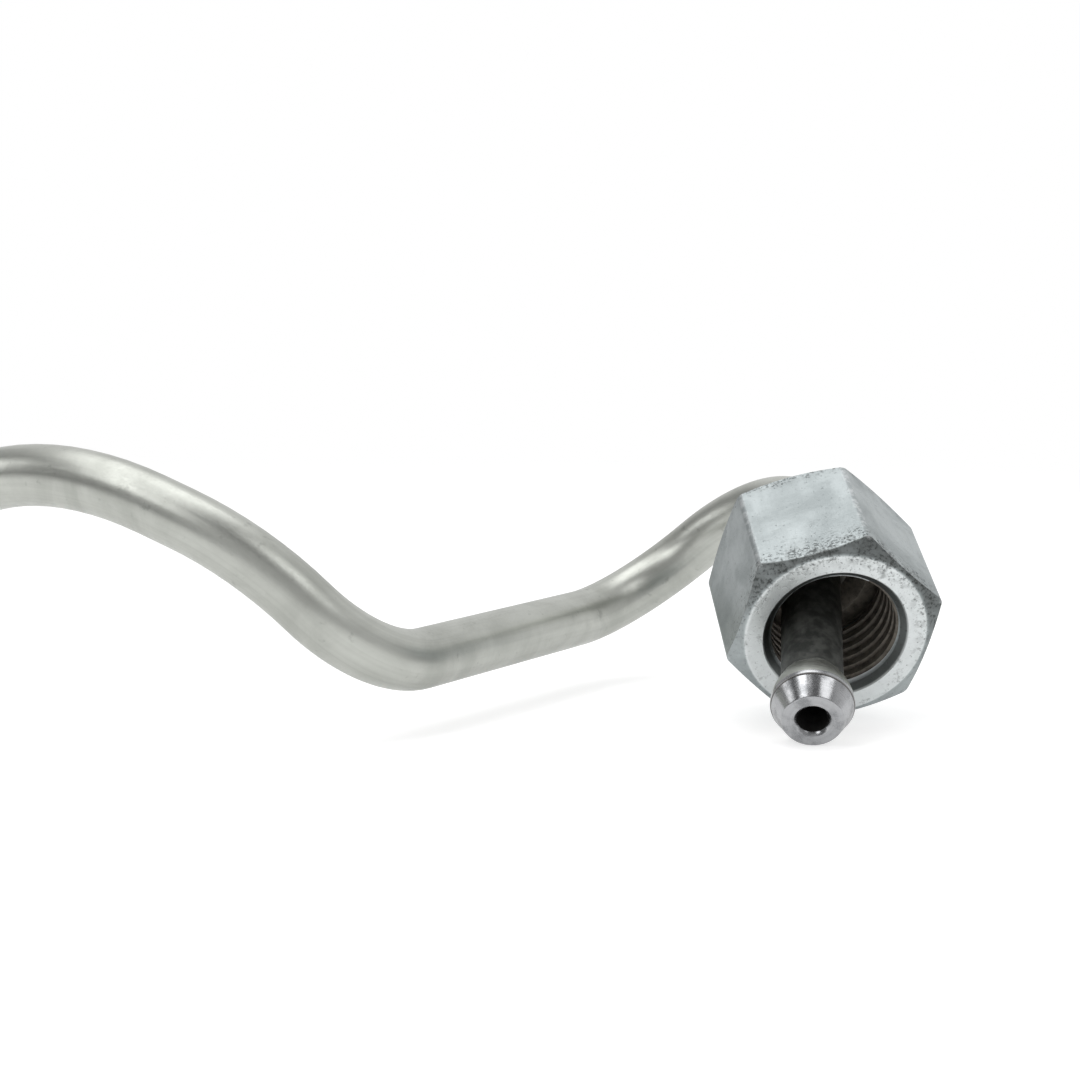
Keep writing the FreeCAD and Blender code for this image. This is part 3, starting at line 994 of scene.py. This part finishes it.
@dataclass
class UnionNut:
    """One union nut, cut from hexagonal bar in its own frame and set on both ends.

    Its own origin is in the mouth face and +Z runs into it.
    """

    across_flats: float = 19.0
    length: float = 16.0
    face_circle: float = 18.0
    corner_angle: float = 30.0
    crest: float = 12.4
    root: float = 13.2
    pitch: float = 1.5
    mouth: float = 14.4
    thread_end: float = 9.6
    relief_end: float = 11.4
    relief: float = 14.2
    seat_mouth: float = 10.6
    hole: float = 7.5
    hole_length: float = 3.05
    corner_rounding: float = 0.42
    rim_rounding: float = 1.2
    segments: int = 144

    def build(self) -> bpy.types.Object:
        """Cut the nut from bar.

        Returns:
            The nut at the origin, with its materials and its own coordinates.
        """
        nut = self.hexagonal_bar()
        self.turn_outside(nut)
        self.bore_inside(nut)
        self.tap_thread(nut)
        self.drop_slivers(nut)
        pick(nut)
        bpy.ops.object.shade_smooth_by_angle(angle=math.radians(34))
        nut.data.materials.append(ZincPlatedSteel("zinc_plated_turned_steel").make())
        nut.data.materials.append(OiledSteelWithPaintedShade("oiled_shaded_steel_thread").make())
        self.paint_inside(nut)
        self.remember_place(nut)
        apply_modifier(nut, "WEIGHTED_NORMAL", mode="FACE_AREA", keep_sharp=True, weight=50)
        return nut

    def hexagonal_bar(self) -> bpy.types.Object:
        """A length of drawn hexagonal bar, corner on +X, with its long corners rounded.

        Returns:
            The bar, longer than the nut by the spare at each end.
        """
        clear_selection()
        spare = 2.0
        bpy.ops.mesh.primitive_cylinder_add(
            vertices=6, radius=metres(self.across_flats / math.sqrt(3)),
            depth=metres(self.length + 2 * spare), location=(0, 0, metres(self.length / 2)),
            rotation=(0, 0, math.radians(30)))
        bar = bpy.context.object
        bar.name = "nut_bar"
        bpy.ops.object.transform_apply(location=True, rotation=True, scale=True)
        weights = bar.data.attributes.new("bevel_weight_edge", "FLOAT", "EDGE")
        long_edge = metres(self.length)
        for edge in bar.data.edges:
            first, second = (bar.data.vertices[number].co for number in edge.vertices)
            weights.data[edge.index].value = float((first - second).length > long_edge)
        apply_modifier(bar, "BEVEL", width=metres(self.corner_rounding), segments=5,
                       limit_method="WEIGHT")
        return bar

    def turn_outside(self, nut: bpy.types.Object) -> None:
        """Face both ends and turn their corners off, with the faces' rims broken.

        Args:
            nut: the bar.
        """
        slope = math.tan(math.radians(self.corner_angle))
        rim = self.face_circle / 2
        wide = self.across_flats
        tangent = self.rim_rounding * math.tan(math.radians(self.corner_angle) / 2)
        steps = 4
        arc = []
        for number in range(steps + 1):
            turn = math.radians(self.corner_angle) * number / steps
            arc.append((rim - tangent + self.rim_rounding * math.sin(turn),
                        self.rim_rounding * (1 - math.cos(turn))))
        front = [(0.0, 0.0), *arc, (wide, (wide - rim) * slope)]
        back = [(radius, self.length - height) for radius, height in reversed(front)]
        cut(nut, turned_solid("turned_outline", front + back, self.segments), "INTERSECT")

    def bore_inside(self, nut: bpy.types.Object) -> None:
        """Cut the countersink, thread bore, relief, conical seat and pipe hole.

        Args:
            nut: the nut.
        """
        crest, mouth, relief = self.crest / 2, self.mouth / 2, self.relief / 2
        seat, hole = self.seat_mouth / 2, self.hole / 2
        seat_end = self.length - self.hole_length
        outline = [
            (0.0, -1.0), (mouth + 1.0, -1.0), (crest, mouth - crest), (crest, self.thread_end),
            (relief, self.thread_end + 0.25), (relief, self.relief_end - 0.2),
            (relief - 0.2, self.relief_end), (seat + 0.12, self.relief_end),
            (seat - 0.06, self.relief_end + 0.06), (hole, seat_end),
            (hole, self.length - 0.2), (hole + 0.4, self.length + 0.2),
            (hole + 0.4, self.length + 1.0), (0.0, self.length + 1.0),
        ]
        cut(nut, turned_solid("inside_tool", outline, self.segments), "DIFFERENCE")

    def tap_thread(self, nut: bpy.types.Object) -> None:
        """Cut the real thread with a tap whose flanks stand at 60 degrees.

        Args:
            nut: the bored nut.
        """
        low, high = self.crest / 2 - 0.15, self.root / 2
        flank = (high - low) * math.tan(math.radians(30))
        root_flat = self.pitch / 8
        start = -1.6 * self.pitch
        turns = round((self.thread_end - start) / self.pitch)
        # The tooth's outline runs out, along its flat, in and back to where it began
        tap = drawn_outline("thread_tap", [
            (low, start), (high, start + flank), (high, start + flank + root_flat),
            (low, start + 2 * flank + root_flat), (low, start)])
        bpy.ops.mesh.remove_doubles(threshold=metres(MERGE_DISTANCE))
        bpy.ops.object.mode_set(mode="OBJECT")
        apply_modifier(tap, "SCREW", axis="Z", angle=math.tau, screw_offset=metres(self.pitch),
                       iterations=turns, steps=72, render_steps=72, use_smooth_shade=False)
        bpy.ops.object.mode_set(mode="EDIT")
        bpy.ops.mesh.select_all(action="SELECT")
        bpy.ops.mesh.fill_holes(sides=4)
        bpy.ops.mesh.select_all(action="SELECT")
        bpy.ops.mesh.normals_make_consistent(inside=False)
        bpy.ops.object.mode_set(mode="OBJECT")
        cut(nut, tap, "DIFFERENCE")

    def drop_slivers(self, nut: bpy.types.Object) -> None:
        """Remove the faces without area that the cuts leave on the flat faces.

        Args:
            nut: the nut.
        """
        pick(nut)
        bpy.ops.object.mode_set(mode="EDIT")
        bpy.ops.mesh.select_all(action="SELECT")
        bpy.ops.mesh.dissolve_degenerate(threshold=metres(MERGE_DISTANCE))
        bpy.ops.object.mode_set(mode="OBJECT")

    def paint_inside(self, nut: bpy.types.Object) -> None:
        """Give the thread, relief, seat and hole the oiled finish with its painted shade.

        Args:
            nut: the nut, with its two materials.
        """
        limit = metres(self.mouth / 2 - 0.12)
        countersink_end = metres((self.mouth - self.crest) / 2 + 0.05)
        hole_end = metres(self.length - 0.1)
        for face in nut.data.polygons:
            x, y, z = face.center
            inside = math.hypot(x, y) < limit and countersink_end < z < hole_end
            side = NutFace.OILED_INSIDE if inside else NutFace.PLATED_OUTSIDE
            face.material_index = side.value

    def remember_place(self, nut: bpy.types.Object) -> None:
        """Keep each point's own place, in millimetres, before the nut is set on a pipe.

        Args:
            nut: the nut at the origin.
        """
        marks = nut.data.attributes.new("nut_place", "FLOAT_VECTOR", "POINT")
        places = [value / MILLIMETRE for vertex in nut.data.vertices for value in vertex.co]
        marks.data.foreach_set("vector", places)

    def set_on(self, nut: bpy.types.Object, name: str, mouth: Vector, forward: Vector,
               across: Vector) -> bpy.types.Object:
        """Put a copy of the nut in its place.

        Args:
            nut: the nut at the origin.
            name: the copy's name.
            mouth: middle of the mouth face, in millimetres.
            forward: direction that the mouth faces.
            across: direction of the corner that is on the nut's own +X.

        Returns:
            The copy, with its place in its mesh.
        """
        placed = nut.copy()
        placed.data = nut.data.copy()
        placed.name = name
        bpy.context.scene.collection.objects.link(placed)
        inward = -forward
        beside = (across - inward * across.dot(inward)).normalized()
        third = inward.cross(beside)
        turn = Matrix((beside, third, inward)).transposed().to_4x4()
        placed.matrix_world = Matrix.Translation(mouth * MILLIMETRE) @ turn
        pick(placed)
        bpy.ops.object.transform_apply(location=True, rotation=True, scale=True)
        return placed


@dataclass
class NutPlaces:
    """Where the two nuts sit: one drawn back and askew, one home on its head."""

    nut_back: float = 27.0
    nut_yaw: float = 3.8
    nut_slope: float = 25.5
    nut_roll: float = 17.3
    hole_middle: float = 14.475
    pump_nut_ahead: float = 7.8146

    def place(self, pipe: FuelPipe, shape: UnionNut) -> list[bpy.types.Object]:
        """Model the nut once and set it on both ends.

        Args:
            pipe: the pipe that carries the nuts.
            shape: the nut's sizes.

        Returns:
            The injector end's nut and the pump end's nut.
        """
        master = shape.build()
        forward = facing(self.nut_yaw, self.nut_slope)
        roll = Matrix.Rotation(math.radians(self.nut_roll), 3, forward)
        across = roll @ level_across(self.nut_yaw)
        hole = pipe.injector_tip() - pipe.injector_forward() * self.nut_back
        injector_nut = shape.set_on(master, "union_nut_injector_end",
                                    hole + forward * self.hole_middle, forward, across)
        pump_nut = shape.set_on(
            master, "union_nut_pump_end",
            pipe.pump_tip() + pipe.pump_forward() * self.pump_nut_ahead,
            pipe.pump_forward(), level_across(pipe.pump_yaw))
        bpy.data.objects.remove(master, do_unlink=True)
        return [injector_nut, pump_nut]


@dataclass
class Softbox:
    """One flat soft lamp: where it stands, what it faces and how much light it gives."""

    name: str
    place: tuple[float, float, float]
    target: tuple[float, float, float]
    width: float
    height: float
    watts: float

    def build(self) -> None:
        """Make the lamp and turn it to its target."""
        clear_selection()
        bpy.ops.object.light_add(type="AREA", location=self.place)
        lamp = bpy.context.object
        lamp.name = self.name
        lamp.data.shape = "RECTANGLE"
        lamp.data.size = self.width
        lamp.data.size_y = self.height
        lamp.data.energy = self.watts
        away = Vector(self.place) - Vector(self.target)
        lamp.rotation_euler = away.to_track_quat("Z", "Y").to_euler()


@dataclass
class Studio:
    """White floor, white backdrop, soft lamps and the camera, in metres."""

    floor_size: float = 6.0
    paper_seen: float = 0.64
    paper_mirrored: float = 0.5
    paper_until: float = 0.25
    backdrop_from: float = 0.55
    camera_place: tuple[float, float, float] = (0.06345, -0.22959, 0.0362)
    camera_below_level: float = 4.83
    focal_pixels: float = 2142.0
    frame_pixels: float = 1080.0
    sensor_width: float = 36.0
    lamps: list[Softbox] = field(default_factory=lambda: [
        Softbox("softbox_front_left", (-0.18, -0.26, 0.36), (-0.03, -0.02, 0.03),
                0.17, 0.30, 0.46),
        Softbox("softbox_left", (-0.55, -0.01, 0.29), (0.09, -0.03, 0.0), 0.22, 0.28, 0.33),
        Softbox("softbox_right", (0.456, -0.31, 0.53), (0.09, -0.03, 0.0), 0.34, 0.33, 0.65),
        Softbox("softbox_top", (-0.05, 0.03, 0.60), (0.0, 0.0, 0.02), 0.56, 0.42, 1.15),
    ])

    def build(self) -> None:
        """Make the whole studio."""
        for lamp in self.lamps:
            lamp.build()
        self.light_room()
        self.lay_floor()
        self.set_camera()

    def light_room(self) -> None:
        """White to the eye behind the object, and a soft grey room for its light."""
        world = bpy.data.worlds.new("studio_room")
        bpy.context.scene.world = world
        graph = NodeGraph(world)
        toward = graph.add("TexCoord", (), "Generated")
        right, backward, up = graph.add("SeparateXYZ", (toward,)).node.outputs
        # The room is white behind, grey in front, dark high in front and at the left
        behind = graph.add("MapRange", (backward, -0.45, 0.4, 0.0, 0.86), **SMOOTH)
        ahead = graph.add("MapRange", (backward, -0.45, 0.4, 1.0, 0.0), **SMOOTH)
        low = graph.add("MapRange", (up, 0.4, 0.75, 0.5, 0.17), **SMOOTH)
        beside = graph.add("MapRange", (right, -0.75, -0.2, 0.36, 1.0), **SMOOTH)
        level = graph.add("Math", (ahead, low, behind), operation="MULTIPLY_ADD")
        level = graph.add("Math", (level, beside), operation="MULTIPLY")
        rays = graph.add("LightPath").node.outputs
        seen = graph.add("Math", (rays["Is Camera Ray"], rays["Is Transmission Ray"]),
                         operation="MAXIMUM")
        strength = graph.add("Mix", {0: seen, 2: level, 3: 1.0}, data_type="FLOAT")
        graph.add("OutputWorld", (graph.add("Background", (WHITE, strength)),))

    def lay_floor(self) -> None:
        """A wide matt white sweep that is white to the eye and keeps the shadow."""
        clear_selection()
        bpy.ops.mesh.primitive_plane_add(size=self.floor_size, location=(0, 0, 0))
        floor = bpy.context.object
        floor.name = "studio_floor"
        bpy.ops.object.mode_set(mode="EDIT")
        bpy.ops.mesh.select_all(action="SELECT")
        bpy.ops.mesh.subdivide(number_cuts=3)
        bpy.ops.object.mode_set(mode="OBJECT")
        material = bpy.data.materials.new("matt_white_backdrop_paper")
        graph = NodeGraph(material)
        paper = graph.add("BsdfDiffuse", (linear("C8C8C8"),))
        rays = graph.add("LightPath").node.outputs
        seen = graph.add("Math", (rays["Is Camera Ray"], self.paper_seen), operation="MULTIPLY")
        lift = graph.add("Math", (rays["Is Glossy Ray"], self.paper_mirrored, seen),
                         operation="MULTIPLY_ADD")
        lit = graph.add("AddShader", (paper, graph.add("Emission", (WHITE, lift))))
        # Far from the line the paper runs into the backdrop, so no horizon shows
        spot = graph.add("TexCoord", (), "Object")
        away = graph.add("VectorMath", (spot,), "Value", operation="LENGTH")
        far = graph.add("MapRange", (away, self.paper_until, self.backdrop_from), **SMOOTH)
        swept = graph.add("MixShader", (far, lit, graph.add("Emission", (WHITE, 1.0))))
        graph.add("OutputMaterial", (swept,))
        floor.data.materials.append(material)

    def set_camera(self) -> None:
        """Stand the camera where the picture was taken from."""
        clear_selection()
        pitch = math.radians(90.0 - self.camera_below_level)
        bpy.ops.object.camera_add(location=self.camera_place, rotation=(pitch, 0.0, 0.0))
        camera = bpy.context.object
        camera.name = "studio_camera"
        camera.data.sensor_width = self.sensor_width
        camera.data.lens = self.sensor_width * self.focal_pixels / self.frame_pixels
        camera.data.clip_start = 0.01
        bpy.context.scene.camera = camera
        bpy.context.scene.view_settings.view_transform = "Standard"


def main() -> None:
    """Build the line, dress it, and set the studio round it."""
    logging.basicConfig(level=logging.INFO, format="%(message)s")
    pipe_shape = FuelPipe()
    pipe = pipe_shape.build()
    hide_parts("fuel_pipe")
    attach(pipe, "pipe")
    log.info("%s: %d faces", pipe.name, len(pipe.data.polygons))
    nuts = NutPlaces().place(pipe_shape, UnionNut())
    for nut, node, body in zip(nuts, ("injector_nut", "pump_nut"),
                               ("injector_end_nut", "pump_end_nut")):
        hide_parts(node)
        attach(nut, body)
        log.info("%s: %d faces", nut.name, len(nut.data.polygons))
    Studio().build()
    clear_selection()
    bpy.context.view_layer.update()


if __name__ == "__main__":
    main()
